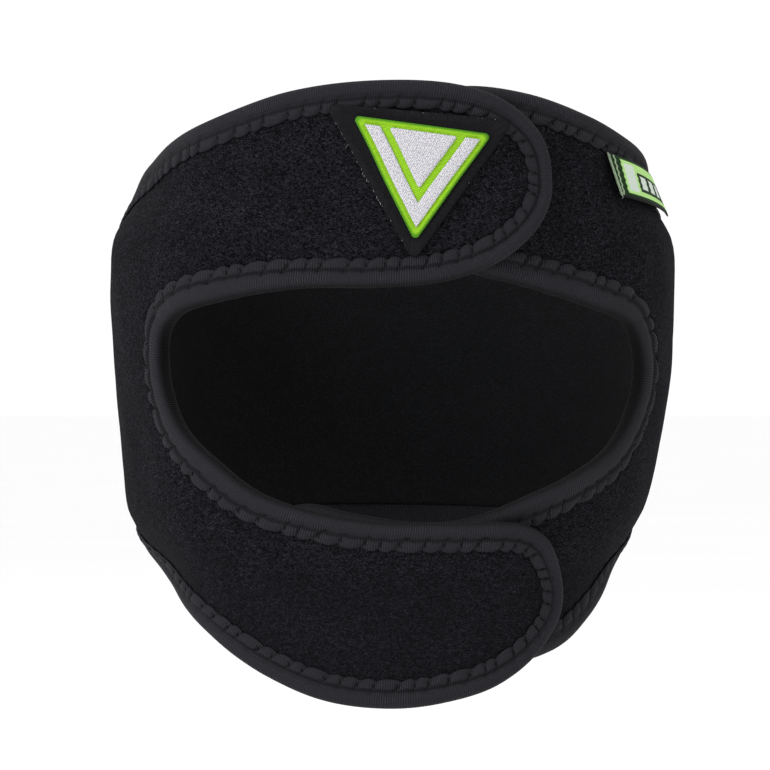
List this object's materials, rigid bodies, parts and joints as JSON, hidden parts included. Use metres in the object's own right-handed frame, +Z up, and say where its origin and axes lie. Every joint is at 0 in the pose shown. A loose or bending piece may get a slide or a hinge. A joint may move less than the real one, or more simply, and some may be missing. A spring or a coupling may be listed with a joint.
{
  "type": "patella strap",
  "caption": "Wrap-round knee strap with lapped bands above and below an open kneecap hole, bound edges, a triangular badge and a side tag.",
  "frame": {"origin": "on the leg's axis, level with the middle of the kneecap opening", "axes": "+Z up the leg, -Y out through the kneecap opening, +X to the viewer's right"},
  "size_m": [0.1322, 0.1282, 0.1417],
  "materials": {
    "foam_fabric": "brushed loop fabric over neoprene foam, near black, matte with a soft nap",
    "edge_tape": "ribbed knit tape, charcoal black, folded and zigzag sewn",
    "hook_tape": "plain black hook tape, hidden between the laps",
    "badge_patch": "black woven patch with a satin border",
    "badge_field": "lime green satin-stitch embroidery",
    "badge_motif": "raised white fill-stitch embroidery",
    "tag_weave": "woven tag folded double, lime frame with white and black cells"
  },
  "bodies": {
    "root": {"neoprene_panel": "foam_fabric", "edge_binding": "edge_tape", "upper_hook_pad": "hook_tape", "lower_hook_pad": "hook_tape", "badge_base": "badge_patch", "badge_field": "badge_field", "badge_chevron": "badge_motif", "badge_core": "badge_motif", "side_tag": "tag_weave"}
  },
  "joints": []
}
